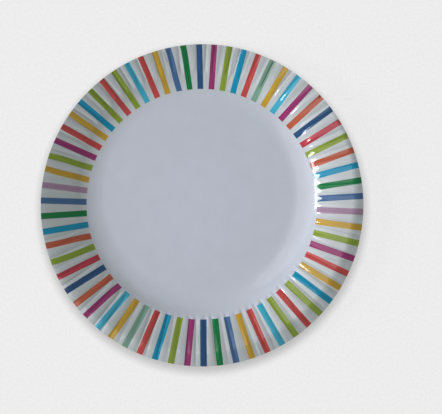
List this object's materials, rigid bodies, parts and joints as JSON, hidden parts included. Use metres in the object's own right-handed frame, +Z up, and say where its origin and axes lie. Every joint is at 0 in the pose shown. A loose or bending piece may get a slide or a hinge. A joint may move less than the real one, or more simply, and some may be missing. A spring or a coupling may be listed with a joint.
{
  "type": "paper plate",
  "caption": "Round pressed paperboard plate with a flat base, sloping wall and grooved rim printed with radial stripes.",
  "frame": {"origin": "centre of the round outline, on the table that the flat base rests on", "axes": "+Z up out of the plate, +Y towards the upper edge of the picture, +X towards its right edge"},
  "size_m": [0.23, 0.23, 0.0167],
  "materials": {
    "plate": "white board, varnished and printed on the upper face, plain underneath"
  },
  "bodies": {
    "root": {"plate": "plate"}
  },
  "joints": []
}
